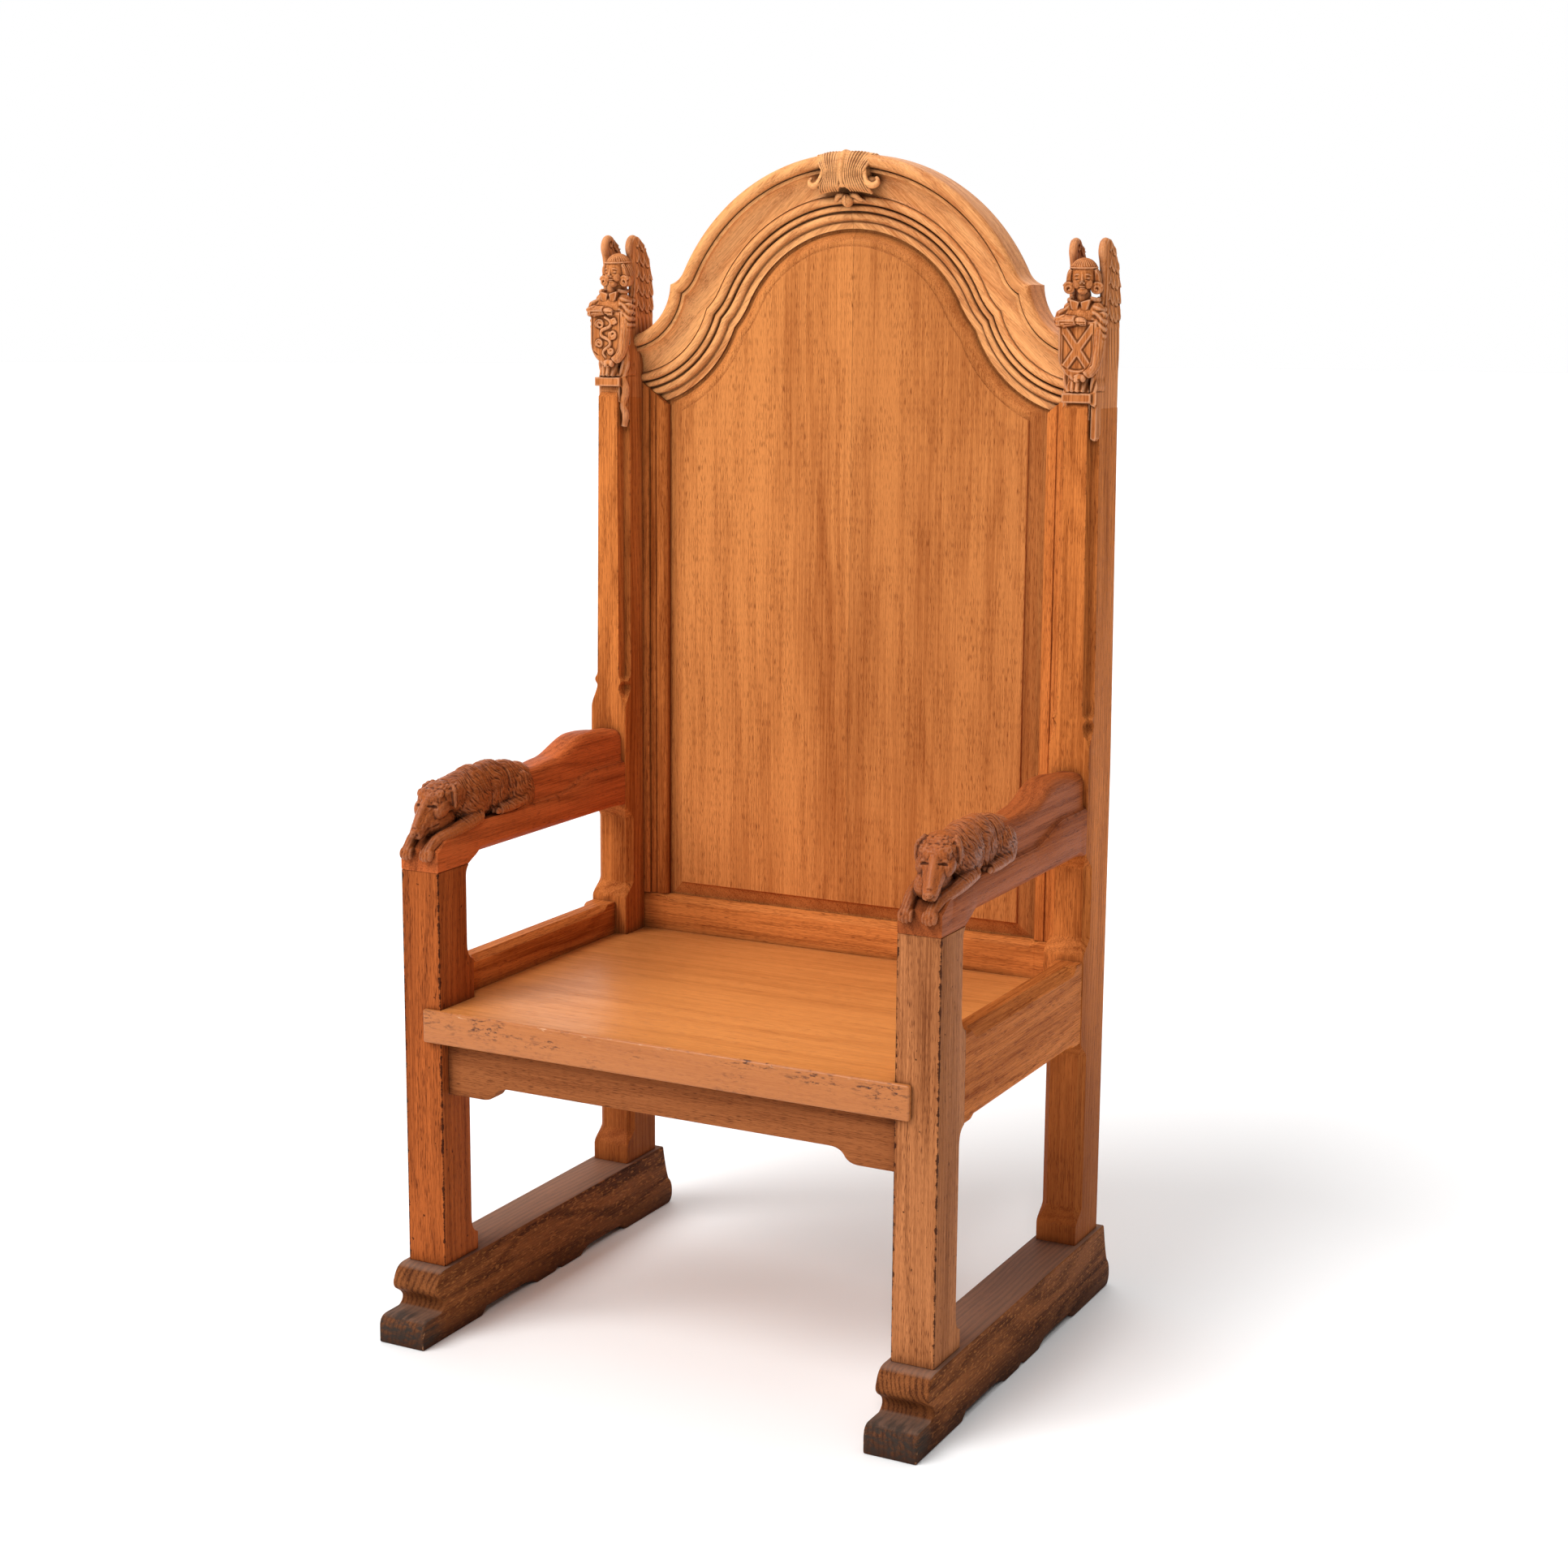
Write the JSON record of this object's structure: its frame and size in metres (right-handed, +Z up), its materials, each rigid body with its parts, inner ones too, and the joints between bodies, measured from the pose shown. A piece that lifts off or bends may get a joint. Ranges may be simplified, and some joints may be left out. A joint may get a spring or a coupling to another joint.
{
  "type": "throne",
  "caption": "Carved oak throne on sledge runners, arched panel back, angels with shields on the posts and sleeping hounds on the arms",
  "frame": {"origin": "Centre of the bounding box, on the floor under the runners", "axes": "Z up, the throne faces -Y, +X is to the right of someone who looks at its front"},
  "size_m": [0.818, 0.688, 1.6319],
  "materials": {
    "oak_frame": "satin waxed",
    "oak_panel": "satin waxed",
    "oak_runner": "worn waxed",
    "oak_arm": "polished by hands"
  },
  "bodies": {
    "root": {"runner_right": "oak_runner", "runner_left": "oak_runner", "front_post_right": "oak_frame", "front_post_left": "oak_frame", "side_rail_right": "oak_frame", "side_rail_left": "oak_frame", "arch_right": "oak_frame", "arch_left": "oak_frame", "panel_stile_right": "oak_frame", "panel_stile_left": "oak_frame", "panel_fillet_right": "oak_frame", "panel_fillet_left": "oak_frame", "back_post_right": "oak_frame", "back_post_left": "oak_frame", "arm_right": "oak_arm", "arm_left": "oak_arm", "seat_board": "oak_panel", "front_apron": "oak_frame", "lower_back_rail": "oak_frame", "back_panel": "oak_panel", "crest": "oak_frame"}
  },
  "joints": []
}
